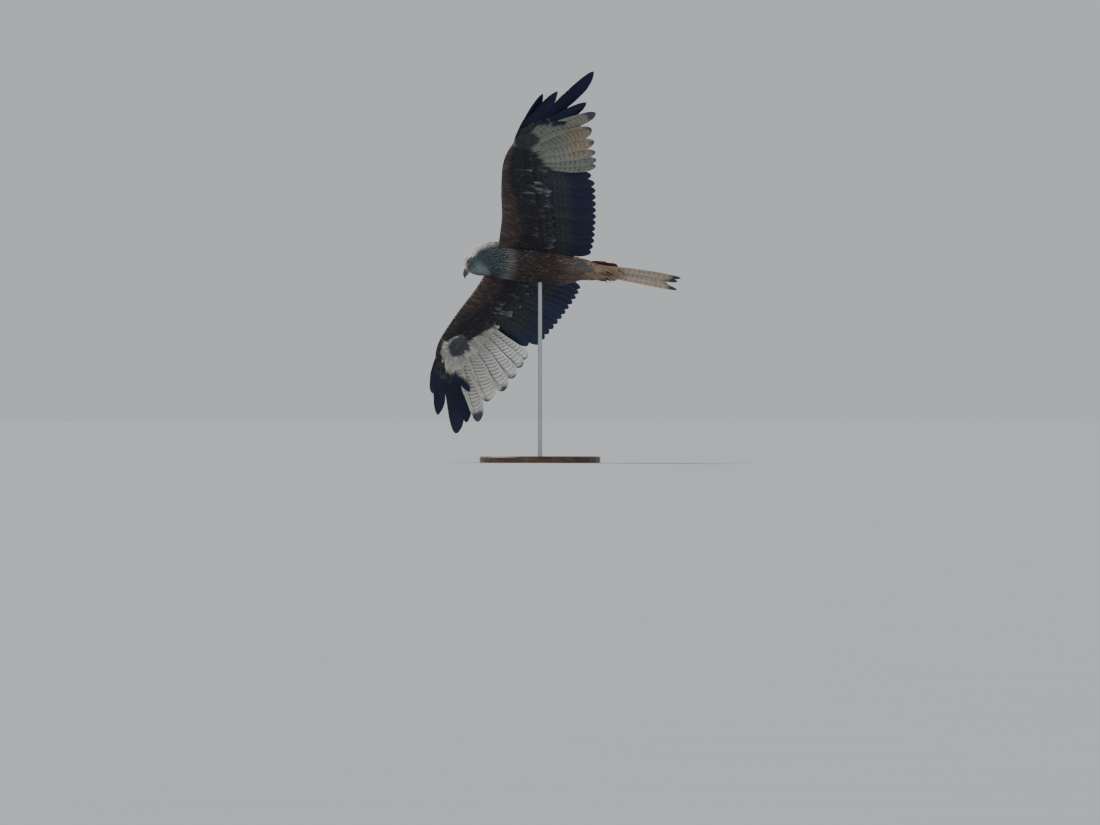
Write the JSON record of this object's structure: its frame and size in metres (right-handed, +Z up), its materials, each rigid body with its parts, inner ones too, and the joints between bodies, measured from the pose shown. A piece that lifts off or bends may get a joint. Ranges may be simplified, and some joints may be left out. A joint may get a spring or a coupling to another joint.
{
  "type": "red kite bird",
  "caption": "Life-size still model of a red kite in a banked glide, wings spread and tail folded, held by one rod on a plain round base.",
  "frame": {"origin": "centre of the underside of the stand's round base", "axes": "+Z up along the rod; the bird flies towards -X, banked with its left wing raised towards -Y; the picture looks along +Y"},
  "size_m": [0.7174, 1.249, 1.1006],
  "materials": {
    "body_plumage": "matte rufous-brown plumage with dark streaks",
    "neck_plumage": "matte grey-brown streaked plumage",
    "head_plumage": "matte grey-white plumage with fine dark streaks",
    "wing_plumage": "rufous and blackish coverts over dark flight feathers",
    "flight_feather": "blackish fingers, pale grey feather bases",
    "tail_plumage": "orange-buff below, rufous above, faintly barred",
    "leg_plumage": "soft rufous thigh feathers",
    "foot_scales": "yellow scaly skin with dark claws",
    "bill_horn": "smooth dark horn with a yellow cere",
    "eye": "glossy pale amber with a black pupil",
    "stand_wood": "dark stained, satin",
    "stand_steel": "brushed"
  },
  "bodies": {
    "root": {"torso": "body_plumage", "neck": "neck_plumage", "head": "head_plumage", "bill_upper": "bill_horn", "bill_lower": "bill_horn", "eye_left": "eye", "eye_right": "eye", "tail": "tail_plumage", "wing_left_arm": "wing_plumage", "wing_right_arm": "wing_plumage", "wing_left_hand": "flight_feather", "wing_right_hand": "flight_feather", "leg_left": "leg_plumage", "leg_right": "leg_plumage", "foot_left": "foot_scales", "foot_right": "foot_scales", "stand_base": "stand_wood", "stand_rod": "stand_steel"}
  },
  "joints": []
}
